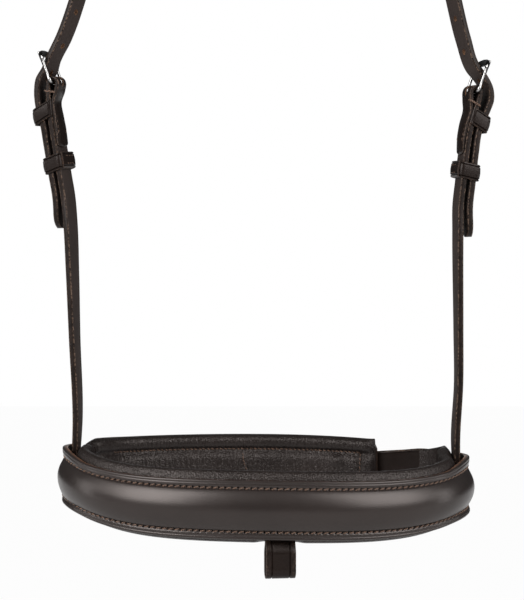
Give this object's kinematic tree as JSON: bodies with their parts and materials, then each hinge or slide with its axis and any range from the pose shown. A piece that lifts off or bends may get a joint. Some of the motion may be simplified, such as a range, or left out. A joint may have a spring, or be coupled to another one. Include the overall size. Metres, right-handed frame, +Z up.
{
  "type": "padded flash noseband with headstrap",
  "caption": "Padded leather flash noseband hanging from two buckled cheek straps and a headstrap, with a lined chin pad, a chin buckle and a loop for a flash strap.",
  "frame": {"origin": "underside of the headstrap at its highest point, where it rests on the horse's poll or on a bridle hook", "axes": "+Z up along the hanging straps, -Y the front of the noseband, +X to the right in a front view"},
  "size_m": [0.2771, 0.1519, 0.4694],
  "materials": {
    "strap_leather": "waxed dark brown bridle leather with a soft sheen and brown cut edges",
    "band_leather": "smooth dark brown leather moulded over padding, brown thread",
    "lining_leather": "soft pebbled lining leather, matt",
    "foam": "dense felt and foam filling, hidden",
    "polished_steel": "polished stainless steel wire and cast frames"
  },
  "bodies": {
    "straps": {"headstrap": "strap_leather", "left_cheek_strap": "strap_leather", "right_cheek_strap": "strap_leather", "left_fixed_keeper": "strap_leather", "right_fixed_keeper": "strap_leather"},
    "left_running_keeper": {"left_running_keeper": "strap_leather"},
    "right_running_keeper": {"right_running_keeper": "strap_leather"},
    "left_buckle": {"left_cheek_buckle": "polished_steel"},
    "left_tongue": {"left_cheek_tongue": "polished_steel"},
    "right_buckle": {"right_cheek_buckle": "polished_steel"},
    "right_tongue": {"right_cheek_tongue": "polished_steel"},
    "noseband": {"noseband_outer": "band_leather", "noseband_padding": "foam", "noseband_lining": "lining_leather", "chin_pad_backing": "band_leather", "chin_pad_padding": "foam", "chin_pad_lining": "lining_leather", "chin_chape": "strap_leather", "chin_strap": "strap_leather", "chin_buckle_keeper": "strap_leather", "chin_end_keeper": "strap_leather"},
    "chin_buckle": {"chin_buckle": "polished_steel"},
    "chin_tongue": {"chin_tongue": "polished_steel"},
    "flash_loop": {"flash_loop": "band_leather"}
  },
  "joints": [
    {"name": "noseband_tilt", "type": "hinge", "parent": "straps", "child": "noseband", "pos_m": [0, 0, -0.411], "axis": [1, 0, 0], "range_deg": [-12, 12], "stiffness_Nm_per_rad": 0.12, "springref_deg": -2.25},
    {"name": "flash_loop_swing", "type": "hinge", "parent": "noseband", "child": "flash_loop", "pos_m": [0.00784, -0.0655, -0.4416], "axis": [1, 0, 0], "range_deg": [-15, 15]},
    {"name": "left_running_keeper_slide", "type": "slide", "parent": "straps", "child": "left_running_keeper", "axis": [0.165, 0, -0.9863], "range_m": [0, 0.015]},
    {"name": "right_running_keeper_slide", "type": "slide", "parent": "straps", "child": "right_running_keeper", "axis": [-0.1072, 0.0135, -0.9941], "range_m": [0, 0.015]},
    {"name": "left_buckle_frame", "type": "hinge", "parent": "straps", "child": "left_buckle", "pos_m": [-0.1259, 0, -0.1779], "axis": [-0.2966, -0.9537, -0.0496], "range_deg": [0, 6]},
    {"name": "left_buckle_tongue", "type": "hinge", "parent": "left_buckle", "child": "left_tongue", "pos_m": [-0.1259, 0, -0.1779], "axis": [-0.2966, -0.9537, -0.0496], "range_deg": [0, 8]},
    {"name": "right_buckle_frame", "type": "hinge", "parent": "straps", "child": "right_buckle", "pos_m": [0.1239, 0, -0.1833], "axis": [-0.2966, 0.9537, 0.0496], "range_deg": [0, 6]},
    {"name": "right_buckle_tongue", "type": "hinge", "parent": "right_buckle", "child": "right_tongue", "pos_m": [0.1239, 0, -0.1833], "axis": [-0.2966, 0.9537, 0.0496], "range_deg": [0, 8]},
    {"name": "chin_buckle_frame", "type": "hinge", "parent": "noseband", "child": "chin_buckle", "pos_m": [0.04063, 0.06425, -0.41295], "axis": [0, 0, 1], "range_deg": [0, 6]},
    {"name": "chin_buckle_tongue", "type": "hinge", "parent": "chin_buckle", "child": "chin_tongue", "pos_m": [0.04063, 0.06425, -0.41295], "axis": [0, 0, 1], "range_deg": [0, 8]}
  ]
}
